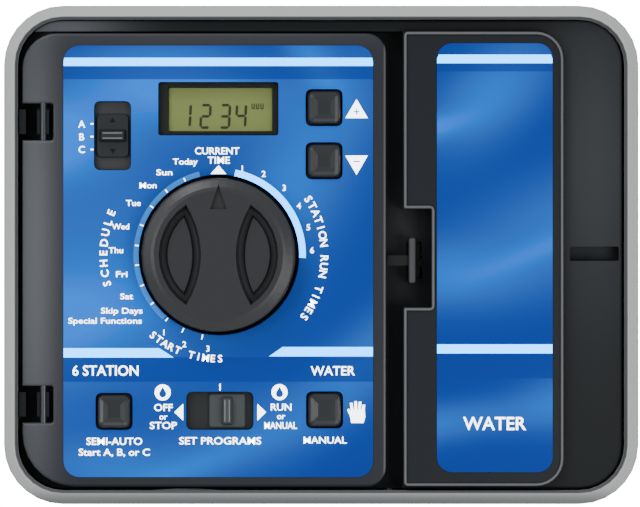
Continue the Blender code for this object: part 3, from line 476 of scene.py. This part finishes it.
def piece(name, bm, material, body, smooth=False):
    """Makes an object from the mesh, which is in mm, and lets it ride on the body where one is given."""
    bmesh.ops.recalc_face_normals(bm, faces=bm.faces)
    bmesh.ops.scale(bm, vec=(MM, MM, MM), verts=bm.verts)
    mesh = bpy.data.meshes.new(name)
    bm.to_mesh(mesh)
    bm.free()
    if smooth:
        mesh.shade_smooth()
        mesh.set_sharp_from_angle(angle=math.radians(35.0))
    mesh.materials.append(material)
    obj = bpy.data.objects.new(name, mesh)
    bpy.context.scene.collection.objects.link(obj)
    if body is not None:
        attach(obj, body)
    return obj


def add_loft(bm, rings):
    """A closed skin over rings of equally many points."""
    loops = [[bm.verts.new(point) for point in ring] for ring in rings]
    count = len(loops[0])
    for low, high in zip(loops, loops[1:]):
        for k in range(count):
            following = (k + 1) % count
            bm.faces.new((low[k], low[following], high[following], high[k]))
    bm.faces.new(list(reversed(loops[0])))
    bm.faces.new(loops[-1])


def add_plate(bm, points, back, front):
    add_loft(bm, [[(x, back, z) for x, z in points], [(x, front, z) for x, z in points]])


def add_box(bm, x, y, z):
    size = Matrix.Diagonal((x[1] - x[0], y[1] - y[0], z[1] - z[0], 1.0))
    middle = Matrix.Translation(((x[0] + x[1]) / 2.0, (y[0] + y[1]) / 2.0, (z[0] + z[1]) / 2.0))
    bmesh.ops.create_cube(bm, size=1.0, matrix=middle @ size)


def add_rod(bm, start, end, radius, segments):
    start = Vector(start)
    end = Vector(end)
    along = end - start
    turn = along.to_track_quat("Z", "Y").to_matrix().to_4x4()
    bmesh.ops.create_cone(
        bm,
        cap_ends=True,
        segments=segments,
        radius1=radius,
        radius2=radius,
        depth=along.length,
        matrix=Matrix.Translation((start + end) / 2.0) @ turn,
    )


SPAN_STEPS = 6


def add_tube(bm, path, radius, sides=10):
    """A closed tube along points, smoothed by a Catmull-Rom curve."""
    points = [Vector(p) for p in path]
    smooth = []
    for k in range(len(points) - 1):
        p0 = points[max(k - 1, 0)]
        p1, p2 = points[k], points[k + 1]
        p3 = points[min(k + 2, len(points) - 1)]
        for step in range(SPAN_STEPS):
            t = step / SPAN_STEPS
            a = (p1 * 2.0) + (p2 - p0) * t + (p0 * 2.0 - p1 * 5.0 + p2 * 4.0 - p3) * t * t
            smooth.append((a + (p1 * 3.0 - p0 - p2 * 3.0 + p3) * t * t * t) * 0.5)
    smooth.append(points[-1])
    rings = []
    across = None
    for k, point in enumerate(smooth):
        tangent = (smooth[min(k + 1, len(smooth) - 1)] - smooth[max(k - 1, 0)]).normalized()
        if across is None:
            across = tangent.orthogonal().normalized()
        across = (across - tangent * across.dot(tangent)).normalized()
        other = tangent.cross(across)
        ring = []
        for j in range(sides):
            angle = 2.0 * math.pi * j / sides
            offset = across * math.cos(angle) + other * math.sin(angle)
            ring.append(point + offset * radius)
        rings.append(ring)
    add_loft(bm, rings)


def arc_points(centre, radius, start, end, steps):
    points = []
    for k in range(steps + 1):
        angle = math.radians(start + (end - start) * k / steps)
        points.append((centre[0] + radius * math.cos(angle), centre[1] + radius * math.sin(angle)))
    return points


def add_sector(bm, centre, inner, outer, start, end, steps, back, front):
    """A flat band between two radii, from start to end in degrees."""
    ring = arc_points(centre, inner, start, end, steps)
    ring += list(reversed(arc_points(centre, outer, start, end, steps)))
    for k in range(steps):
        quad = [ring[k], ring[k + 1], ring[2 * steps - k], ring[2 * steps + 1 - k]]
        add_plate(bm, quad, back, front)


# ---------------------------------------------------------------- lettering


def glyph_mesh(text, weight):
    """The text as a mesh of size 1 in its own plane. weight fattens the strokes."""
    curve = bpy.data.curves.new("lettering", "FONT")
    curve.body = text
    curve.size = 1.0
    curve.offset = weight
    curve.extrude = 0.01
    curve.resolution_u = 3
    holder = bpy.data.objects.new("lettering", curve)
    bpy.context.scene.collection.objects.link(holder)
    bpy.context.view_layer.update()
    graph = bpy.context.evaluated_depsgraph_get()
    mesh = bpy.data.meshes.new_from_object(holder.evaluated_get(graph))
    bpy.data.objects.remove(holder)
    bpy.data.curves.remove(curve)
    return mesh


CAP_MESH = glyph_mesh("H", 0.0)
CAP_HEIGHT = max(v.co.y for v in CAP_MESH.vertices)
bpy.data.meshes.remove(CAP_MESH)


def add_text(bm, text, centre, cap, front, width=None, weight=0.012, turn=0.0):
    """Adds flat lettering round centre. cap is the height of its capitals, and turn is in degrees,
    anticlockwise seen from the front."""
    mesh = glyph_mesh(text, weight)
    scale = cap / CAP_HEIGHT
    left = min(v.co.x for v in mesh.vertices)
    right = max(v.co.x for v in mesh.vertices)
    stretch = scale if width is None else width / (right - left)
    middle = (left + right) / 2.0
    angle = math.radians(turn)
    start = len(bm.verts)
    bm.from_mesh(mesh)
    bm.verts.ensure_lookup_table()
    for vertex in list(bm.verts)[start:]:
        x, y, z = vertex.co
        u = (x - middle) * stretch
        v = (y - CAP_HEIGHT / 2.0) * scale
        depth = front - (INK if z > 0.0 else 0.0)
        across = u * math.cos(angle) - v * math.sin(angle)
        up = u * math.sin(angle) + v * math.cos(angle)
        vertex.co = (centre[0] + across, depth, centre[1] + up)
    bpy.data.meshes.remove(mesh)


def add_arc_text(bm, text, radius, first, step, cap, inward=False):
    """Sets letters one by one round the dial. Angles in degrees; inward puts letter tops to the centre."""
    for k, letter in enumerate(text):
        if letter == " ":
            continue
        angle = first + step * k
        x = DIAL[0] + radius * math.cos(math.radians(angle))
        z = DIAL[1] + radius * math.sin(math.radians(angle))
        turn = angle + 90.0 if inward else angle - 90.0
        add_text(bm, letter, (x, z), cap, INK_AT, weight=0.014, turn=turn)


def ink_plate(bm, points, front=INK_AT):
    add_plate(bm, points, front, front - INK)


def rectangle(x0, x1, z0, z1):
    return [(x0, z0), (x1, z0), (x1, z1), (x0, z1)]


def drop_outline(centre, height):
    """A water drop, point upwards."""
    steps = 10
    x, z = centre
    radius = height * 0.34
    points = [(x, z + height * 0.5)]
    for k in range(steps + 1):
        angle = math.radians(150.0 + 240.0 * k / steps)
        points.append((x + radius * math.cos(angle), z - height * 0.16 + radius * math.sin(angle)))
    return points


# ---------------------------------------------------------------- panel print


def build_panel_print():
    white = bmesh.new()
    # text, centre, height of capitals, width
    for text, centre, cap, width in (
        ("A", (-102.9, 56.2), 2.9, None),
        ("B", (-102.9, 50.7), 2.9, None),
        ("C", (-102.9, 45.3), 2.9, None),
        ("CURRENT", (-44.7, 44.7), 2.9, 19.0),
        ("TIME", (-44.0, 40.7), 2.9, 9.5),
        ("Today", (-58.4, 40.1), 2.5, 10.6),
        ("Sun", (-67.4, 35.5), 2.4, 6.9),
        ("Mon", (-74.4, 29.9), 2.4, 7.4),
        ("Tue", (-80.7, 22.3), 2.4, 6.3),
        ("Wed", (-86.25, 12.2), 2.4, 7.4),
        ("Thu", (-88.25, 2.0), 2.4, 6.2),
        ("Fri", (-85.7, -8.3), 2.4, 4.9),
        ("Sat", (-83.6, -17.8), 2.4, 5.5),
        ("Skip Days", (-85.7, -24.0), 2.4, 17.8),
        ("Special Functions", (-92.9, -28.3), 2.4, 31.6),
        ("1", (-33.9, 37.1), 2.5, None),
        ("2", (-24.7, 34.8), 2.5, None),
        ("3", (-15.9, 28.8), 2.5, None),
        ("4", (-9.6, 21.1), 2.5, None),
        ("5", (-5.5, 11.9), 2.5, None),
        ("6", (-3.9, 2.0), 2.5, None),
        ("1", (-67.6, -33.3), 2.4, None),
        ("2", (-58.8, -38.4), 2.4, None),
        ("3", (-48.7, -40.3), 2.4, None),
        ("6 STATION", (-92.7, -49.7), 4.2, 28.4),
        ("OFF", (-67.8, -65.6), 2.9, 8.0),
        ("or", (-67.8, -69.5), 2.5, None),
        ("STOP", (-67.8, -73.3), 2.9, 11.6),
        ("RUN", (-17.2, -65.4), 2.9, 8.9),
        ("or", (-17.2, -69.3), 2.5, None),
        ("MANUAL", (-17.4, -73.3), 2.8, 14.0),
        ("SET PROGRAMS", (-43.4, -79.9), 3.0, 35.2),
        ("SEMI-AUTO", (-88.9, -80.1), 3.0, 24.0),
        ("Start A, B, or C", (-88.9, -84.8), 2.9, 30.6),
        ("MANUAL", (1.7, -79.6), 2.8, 18.6),
    ):
        add_text(white, text, centre, cap, INK_AT, width)
    add_text(white, "WATER", (5.0, -49.8), 3.8, INK_AT, 19.0)
    add_arc_text(white, "SCHEDULE", 49.7, 194.4, -5.12, 3.2)
    add_arc_text(white, "STATION RUN TIMES", 45.3, 32.0, -4.25, 3.2)
    add_arc_text(white, "START TIMES", 44.6, 230.6, 4.0, 3.0, inward=True)
    for z in (56.3, 50.8, 45.3):
        ink_plate(white, rectangle(-99.1, -97.9, z - 0.3, z + 0.3))
    ink_plate(white, [(-47.5, 34.8), (-40.8, 34.8), (-44.1, 38.5)])
    ink_plate(white, [(10.4, 58.8), (20.0, 58.8), (15.2, 66.9)])
    ink_plate(white, [(10.4, 42.7), (15.2, 34.4), (20.0, 42.7)])
    ink_plate(white, [(-63.1, -67.6), (-59.3, -71.2), (-59.3, -64.0)])
    ink_plate(white, [(-27.4, -71.2), (-23.7, -67.6), (-27.4, -64.0)])
    ink_plate(white, rectangle(-43.75, -43.2, -58.3, -55.4))
    for x, z in ((-68.1, -59.1), (-17.9, -59.0)):
        ink_plate(white, arc_points((x, z), 3.45, 0.0, 345.0, 23))
    for angle in (114.6, 129.5, 144.4, 159.0, 173.5, 187.1, 201.7, 216.0):
        add_radial(white, angle, 34.8, 36.3, 0.5)
    for angle, low, high in ((244.4, 35.0, 37.0), (258.4, 35.0, 37.0), (231.0, 35.0, 36.6)):
        add_radial(white, angle, low, high, 0.45)
    add_hand(white)
    piece("panel_print", white, WHITE_INK, "module")

    dark = bmesh.new()
    ink_plate(dark, rectangle(14.0, 16.5, 61.3, 61.8), OVER_INK_AT)
    ink_plate(dark, rectangle(15.0, 15.5, 60.3, 61.29), OVER_INK_AT)
    ink_plate(dark, rectangle(15.0, 15.5, 61.81, 62.8), OVER_INK_AT)
    ink_plate(dark, rectangle(13.9, 16.6, 39.9, 40.4), OVER_INK_AT)
    ink_plate(dark, drop_outline((-68.1, -59.0), 4.6), OVER_INK_AT)
    ink_plate(dark, drop_outline((-17.9, -58.9), 4.6), OVER_INK_AT)
    piece("panel_print_blue_marks", dark, PANEL_BLUE, "module")

    pale = bmesh.new()
    top_stripe = [(-110.7, 81.2), (22.2, 81.2), (22.2, 83.0), (21.9, 84.7), (-110.4, 84.7), (-110.7, 83.0)]
    ink_plate(pale, top_stripe)
    ink_plate(pale, [(-110.7, -44.1), (-63.4, -44.1), (-69.6, -40.1), (-110.7, -40.1)])
    ink_plate(pale, [(-22.4, -43.6), (22.2, -43.6), (22.2, -39.6), (-16.6, -39.6)])
    add_sector(pale, DIAL, 33.6, 37.3, -2.0, 79.0, 40, INK_AT, INK_AT - INK)
    piece("panel_print_pale", pale, PALE_INK, "module")

    sky = bmesh.new()
    add_sector(sky, DIAL, 33.6, 36.8, 103.5, 229.0, 50, INK_AT, INK_AT - INK)
    piece("panel_print_sky", sky, SKY_INK, "module")


def add_radial(bm, angle, low, high, width):
    """A tick on a ray from the dial's centre, between two radii."""
    direction = Vector((math.cos(math.radians(angle)), math.sin(math.radians(angle))))
    side = Vector((-direction.y, direction.x)) * (width / 2.0)
    centre = Vector(DIAL)
    inner = centre + direction * low
    outer = centre + direction * high
    corners = [inner - side, outer - side, outer + side, inner + side]
    ink_plate(bm, [tuple(c) for c in corners], OVER_INK_AT)


def add_hand(bm):
    """An open hand: a palm, four fingers and a thumb."""
    palm = [(12.9, -72.2), (18.2, -72.2), (18.9, -69.6), (18.7, -66.6), (12.7, -66.6), (12.4, -69.0)]
    ink_plate(bm, palm)
    for x, low, high, lean in (
        (13.3, -66.59, -63.6, -0.25),
        (14.9, -66.59, -62.9, -0.05),
        (16.5, -66.59, -63.1, 0.12),
        (18.0, -66.59, -64.4, 0.3),
    ):
        tip = x + lean * (high - low) * 0.5
        ink_plate(bm, [(x - 0.6, low), (x + 0.6, low), (tip + 0.55, high), (tip - 0.55, high)])
    ink_plate(bm, [(12.38, -69.2), (12.65, -67.2), (11.9, -66.0), (11.2, -66.6)])


def build_cover_print():
    left, right = 49.8, 99.3
    pale = bmesh.new()
    top_stripe = [(left, 82.3), (right, 82.3), (right, 84.2), (98.6, 86.0), (50.5, 86.0), (left, 84.2)]
    ink_plate(pale, top_stripe, COVER_INK_AT)
    ink_plate(pale, rectangle(left, right, -42.3, -38.4), COVER_INK_AT)
    piece("cover_print_pale", pale, PALE_INK, "cabinet")

    white = bmesh.new()
    add_text(white, "WATER", (74.5, -72.4), 5.4, COVER_INK_AT, 27.0)
    piece("cover_print", white, WHITE_INK, "cabinet")


# ---------------------------------------------------------------- display


def display_plate(bm, points):
    add_plate(bm, points, DISPLAY_INK_AT, DISPLAY_INK_AT - INK)


def add_segment(bm, x, z, which):
    """One bar, named a to g as usual, of a seven-segment digit whose lower left corner is (x, z)."""
    width, height, stroke, lean = 5.0, 10.8, 1.15, 0.05
    half = stroke / 2.0
    gap = 0.12
    mid = height / 2.0
    across = {"a": height - half, "g": mid, "d": half}
    if which in across:
        level = across[which]
        low, high = gap + half, width - gap - half
        bar = [
            (low, level),
            (low + half, level - half),
            (high - half, level - half),
            (high, level),
            (high - half, level + half),
            (low + half, level + half),
        ]
    else:
        level = half if which in "fe" else width - half
        low = gap + half if which in "ec" else mid + gap
        high = mid - gap if which in "ec" else height - gap - half
        bar = [
            (level, low),
            (level + half, low + half),
            (level + half, high - half),
            (level, high),
            (level - half, high - half),
            (level - half, low + half),
        ]
    display_plate(bm, [(x + u + lean * v, z + v) for u, v in bar])


def build_switch_marks_and_highlights():
    """Arrowheads on the program switch, and painted highlights along both switches' ridges."""
    marks = bmesh.new()
    for arrow in (
        [(-91.1, 57.0), (-88.2, 57.0), (-89.65, 59.1)],
        [(-91.1, 45.6), (-89.65, 43.5), (-88.2, 45.6)],
    ):
        add_plate(marks, arrow, SWITCH_MARK_AT, SWITCH_MARK_AT - MARK)
    piece("program_switch_marks", marks, BEZEL, "program_switch")

    # Painted highlights: thin light strips along the ridges' edges, riding with each switch.
    half = 0.2
    for switch, outlines in (
        ("program_switch", [rectangle(-93.9, -85.4, z - half, z + half) for z in (50.15, 52.35)]),
        ("function_switch", [rectangle(x - half, x + half, -71.6, -62.4) for x in (-41.35, -39.45)]),
    ):
        edges = bmesh.new()
        for outline in outlines:
            add_plate(edges, outline, RIDGE_HIGHLIGHT_AT, RIDGE_HIGHLIGHT_AT - MARK)
        piece(switch + "_painted_highlights", edges, RIDGE_HIGHLIGHT_GREY, switch)


def build_display():
    bm = bmesh.new()
    digits = (
        ("bc", -61.1, 54.6),
        ("abged", -52.6, 54.3),
        ("abgcd", -44.2, 54.3),
        ("fgbc", -37.3, 54.5),
    )
    for segments, x, z in digits:
        for which in segments:
            add_segment(bm, x, z, which)
    for k in range(3):
        x = -30.0 + 1.9 * k
        display_plate(bm, rectangle(x, x + 1.4, 62.8, 63.3))
        display_plate(bm, rectangle(x, x + 0.45, 63.4, 65.2))
        display_plate(bm, rectangle(x + 0.95, x + 1.4, 63.4, 65.2))
    piece("display_digits", bm, LCD_INK, "module")


# ---------------------------------------------------------------- inner dressing


def build_terminal_dressing():
    """Slotted screw heads on the station terminals and on the line terminals."""
    steel = bmesh.new()
    slots = bmesh.new()
    # count, first x, pitch, z, back, front, head radius
    for count, first, pitch, z, back, front, radius in (
        (10, -91.9, 10.2, -43.5, -17.9, -20.6, 2.0),
        (3, 72.0, 13.0, -66.5, -15.3, -18.6, 2.2),
    ):
        for k in range(count):
            x = first + pitch * k
            half = radius - 0.3
            add_rod(steel, (x, back, z), (x, front, z), radius, 16)
            # Each slot is a dark plate laid on the head's face: painted shade in place of a cut recess.
            add_box(slots, (x - half, x + half), (front - 0.15, front - 0.02), (z - 0.3, z + 0.3))
    piece("terminal_screws", steel, STEEL, "cabinet", True)
    piece("terminal_screw_slot_shade", slots, DEEP, "cabinet")


def build_board_dressing():
    """Electronic parts on the back of the main board and on the front of the terminal board."""
    main_back = -66.9
    terminal_front = -9.9
    chips = bmesh.new()
    add_box(chips, (-80.0, -62.0), (main_back, -64.4), (20.0, 38.0))
    add_box(chips, (-30.0, -16.0), (main_back, -64.9), (44.0, 52.0))
    add_box(chips, (-88.0, -80.0), (main_back, -65.4), (50.0, 56.0))
    piece("board_chips", chips, DEEP, "module")
    driver = bmesh.new()
    add_box(driver, (-90.0, -72.0), (-12.6, terminal_front), (-20.0, -11.0))
    piece("terminal_board_chip", driver, DEEP, "cabinet")
    cans = bmesh.new()
    for x, z in ((-46.0, 30.0), (-34.0, 30.0), (-10.0, 20.0)):
        add_rod(cans, (x, main_back, z), (x, -57.0, z), 3.6, 20)
    piece("board_capacitors", cans, BATTERY, "module", True)
    triacs = bmesh.new()
    resistors = bmesh.new()
    for k in range(6):
        x = -62.0 + 11.0 * k
        add_box(triacs, (x, x + 7.0), (-14.8, terminal_front), (-12.0, 2.0))
        add_rod(resistors, (x + 2.5, -11.2, -32.0), (x + 2.5, -11.2, -26.0), 1.1, 12)
    piece("board_triacs", triacs, DEEP, "cabinet")
    piece("board_resistors", resistors, BEIGE, "cabinet", True)


def build_wires():
    """The supply wire down to the cable entry, and the transformer's wire to the line terminals."""
    supply = [(72.0, -10.5, -77.0), (72.5, -14.0, -86.0), (76.0, -25.0, -92.0), (81.0, -38.0, -98.0)]
    transformer = [(59.0, -34.0, 5.0), (54.0, -38.0, -15.0), (62.0, -30.0, -45.0), (70.0, -22.5, -58.0)]
    black = bmesh.new()
    add_tube(black, supply, 1.3)
    add_tube(black, transformer, 1.1)
    piece("supply_wire_black", black, WIRE_BLACK, "cabinet", True)


def build_cable():
    """The ribbon cable, folded once."""
    bend_x, bend_y, bend_radius = -65.0, -30.6, 9.6
    bend_steps = 16
    half = 0.45
    width = 16.5
    cores = 13
    # (x, y) from the module's plug, round the fold, to the terminal board's plug
    path = [(-98.0, -43.6), (-97.2, -41.4), (-95.0, -40.4)]
    for k in range(6):
        path.append((bend_x - 25.0 + 5.0 * k, bend_y - bend_radius))
    for k in range(1, bend_steps):
        angle = math.pi * k / bend_steps
        path.append((bend_x + bend_radius * math.sin(angle), bend_y - bend_radius * math.cos(angle)))
    for k in range(6):
        path.append((bend_x - 5.0 * k, bend_y + bend_radius))
    path += [(-95.0, -20.8), (-97.2, -20.2), (-98.0, -18.7)]
    rings = []
    for k, (x, y) in enumerate(path):
        before = Vector(path[max(k - 1, 0)])
        after = Vector(path[min(k + 1, len(path) - 1)])
        along = (after - before).normalized()
        across = Vector((-along.y, along.x)) * half
        low = -12.0 - 2.0 * k / (len(path) - 1)
        levels = [low + width * j / cores for j in range(cores + 1)]
        front = [(x + across.x, y + across.y, z) for z in levels]
        back = [(x - across.x, y - across.y, z) for z in reversed(levels)]
        rings.append(front + back)
    bm = bmesh.new()
    add_loft(bm, rings)
    cable = piece("ribbon_cable_flat", bm, RIBBON, None, True)
    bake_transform(cable)
    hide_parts("ribbon_cable")


def build_latch_spring():
    """The latch's coil spring."""
    left, length, radius, wire = 42.95, 5.3, 1.7, 0.28
    axis_y, axis_z = -65.6, -2.3
    spans = 48
    spans_per_turn = 10
    path = []
    for k in range(spans + 1):
        angle = 2.0 * math.pi * k / spans_per_turn
        x = left + length * k / spans
        path.append((x, axis_y + radius * math.cos(angle), axis_z + radius * math.sin(angle)))
    bm = bmesh.new()
    add_tube(bm, path, wire, 8)
    spring = piece("latch_coil_spring", bm, DARK_STEEL, "cabinet", True)
    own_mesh(spring)
    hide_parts("latch_spring")


# ---------------------------------------------------------------- stage


def build_stage():
    bpy.ops.mesh.primitive_plane_add(size=3.0, location=(0.0, 0.0, -0.45))
    floor = bpy.context.object
    floor.name = "floor"
    pale = new_material("pale_floor", (216, 216, 214), 0.7)
    mottle(pale, (214, 214, 212), (219, 219, 217), 4.0)
    floor.data.materials.append(pale)


def area_light(name, location, target, size, energy):
    data = bpy.data.lights.new(name, "AREA")
    data.shape = "RECTANGLE"
    data.size = size[0]
    data.size_y = size[1]
    data.energy = energy
    light = bpy.data.objects.new(name, data)
    light.location = location
    aim = Vector(target) - Vector(location)
    light.rotation_euler = aim.to_track_quat("-Z", "Y").to_euler()
    bpy.context.scene.collection.objects.link(light)


WALL_STRENGTH = 17.0
STUDIO_LOW = 0.15
STUDIO_HIGH = 1.5


def build_world():
    """A white wall straight behind, and a soft studio that is brighter above than below."""
    world = bpy.data.worlds.new("studio")
    world.use_nodes = True
    tree = world.node_tree
    background = tree.nodes["Background"]
    coordinates = tree.nodes.new("ShaderNodeTexCoord")
    split = tree.nodes.new("ShaderNodeSeparateXYZ")
    tree.links.new(coordinates.outputs["Generated"], split.inputs[0])
    wall = tree.nodes.new("ShaderNodeMapRange")
    wall.inputs["From Min"].default_value = 0.93
    wall.inputs["From Max"].default_value = 0.97
    tree.links.new(split.outputs["Y"], wall.inputs["Value"])
    height = tree.nodes.new("ShaderNodeMapRange")
    height.inputs["From Min"].default_value = -0.8
    height.inputs["From Max"].default_value = 0.9
    height.inputs["To Min"].default_value = STUDIO_LOW
    height.inputs["To Max"].default_value = STUDIO_HIGH
    tree.links.new(split.outputs["Z"], height.inputs["Value"])
    mix = tree.nodes.new("ShaderNodeMix")
    mix.data_type = "FLOAT"
    tree.links.new(wall.outputs["Result"], mix.inputs[0])
    tree.links.new(height.outputs["Result"], mix.inputs[2])
    mix.inputs[3].default_value = WALL_STRENGTH
    background.inputs["Color"].default_value = (1.0, 1.0, 1.0, 1.0)
    tree.links.new(mix.outputs[0], background.inputs["Strength"])
    bpy.context.scene.world = world


def build_camera():
    """A long lens straight in front, with view_width across the picture at the rim's depth."""
    distance = 2.0
    rim_depth = 0.088
    view_width = 0.2746
    data = bpy.data.cameras.new("camera")
    data.lens = data.sensor_width * (distance - rim_depth) / view_width
    data.clip_start = 0.01
    camera = bpy.data.objects.new("camera", data)
    camera.location = (-0.0005, -distance, 0.0006)
    camera.rotation_euler = (math.radians(90.0), 0.0, 0.0)
    bpy.context.scene.collection.objects.link(camera)
    bpy.context.scene.camera = camera


build_panel_print()
build_cover_print()
build_switch_marks_and_highlights()
build_display()
build_terminal_dressing()
build_board_dressing()
build_wires()
build_cable()
build_latch_spring()
build_stage()
area_light("key", (-0.45, -0.8, 0.95), (-0.02, 0.0, 0.0), (0.5, 0.5), 7.9)
area_light("side", (-0.36, -0.5, 0.06), (-0.1, -0.08, 0.0), (0.16, 0.3), 1.2)
area_light("right", (0.36, -0.63, -0.13), (-0.02, -0.09, 0.0), (0.26, 0.26), 2.8)
build_world()
build_camera()
